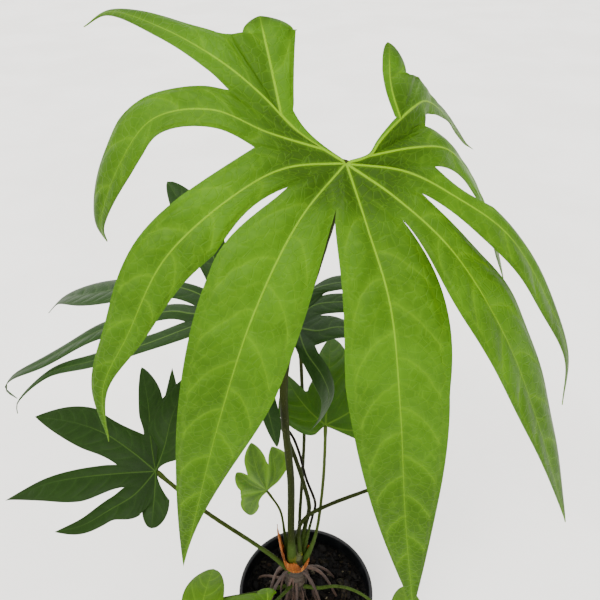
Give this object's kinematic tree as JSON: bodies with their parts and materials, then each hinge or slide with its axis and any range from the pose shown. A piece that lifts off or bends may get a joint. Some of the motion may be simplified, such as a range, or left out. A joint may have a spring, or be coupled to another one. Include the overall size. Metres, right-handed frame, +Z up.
{
  "type": "potted anthurium pedatoradiatum",
  "caption": "Aroid house plant with large deeply fingered leaves on long thin stalks, aerial roots and papery sheaths, growing in a round nursery pot.",
  "frame": {"origin": "middle of the pot's base, on the surface that the pot stands on", "axes": "+Z up along the pot's axis, -Y towards the side that the large leaf faces, +X to the viewer's right from that side"},
  "size_m": [0.368, 0.2025, 0.5822],
  "materials": {
    "pot": "satin black plastic",
    "potting_mix": "damp bark chips and fibre",
    "crown": "grey-brown bark and roots",
    "papery_sheath": "dry orange-brown papery sheath",
    "petiole_olive": "olive brown leaf stalk",
    "petiole_dark": "nearly black leaf stalk",
    "petiole_green": "green leaf stalk",
    "leaf_bright": "bright green satin leaf with pale veins",
    "leaf_dark": "dark green leaf with a grey sheen",
    "leaf_low": "deep green satin leaf",
    "leaf_young": "mid green thin leaf",
    "leaf_pale": "pale green young leaf",
    "leaf_fresh": "fresh green young leaf"
  },
  "bodies": {
    "root": {"pot": "pot", "potting_mix": "potting_mix", "crown_and_roots": "crown", "papery_sheath": "papery_sheath", "petiole_main": "petiole_olive", "leaf_main": "leaf_bright", "petiole_dark_left": "petiole_dark", "leaf_dark_left": "leaf_dark", "petiole_dark_right": "petiole_olive", "leaf_dark_right": "leaf_dark", "petiole_low": "petiole_green", "leaf_low": "leaf_low", "petiole_young": "petiole_green", "leaf_young": "leaf_young", "petiole_pale": "petiole_green", "leaf_pale": "leaf_pale", "petiole_right_hidden": "petiole_olive", "leaf_right_hidden": "leaf_young", "petiole_rear_hidden": "petiole_olive", "leaf_rear_hidden": "leaf_dark", "petiole_front_left": "petiole_green", "leaf_front_left": "leaf_fresh", "petiole_front_middle": "petiole_green", "leaf_front_middle": "leaf_fresh", "petiole_front_right": "petiole_green", "leaf_front_right": "leaf_fresh"}
  },
  "joints": []
}
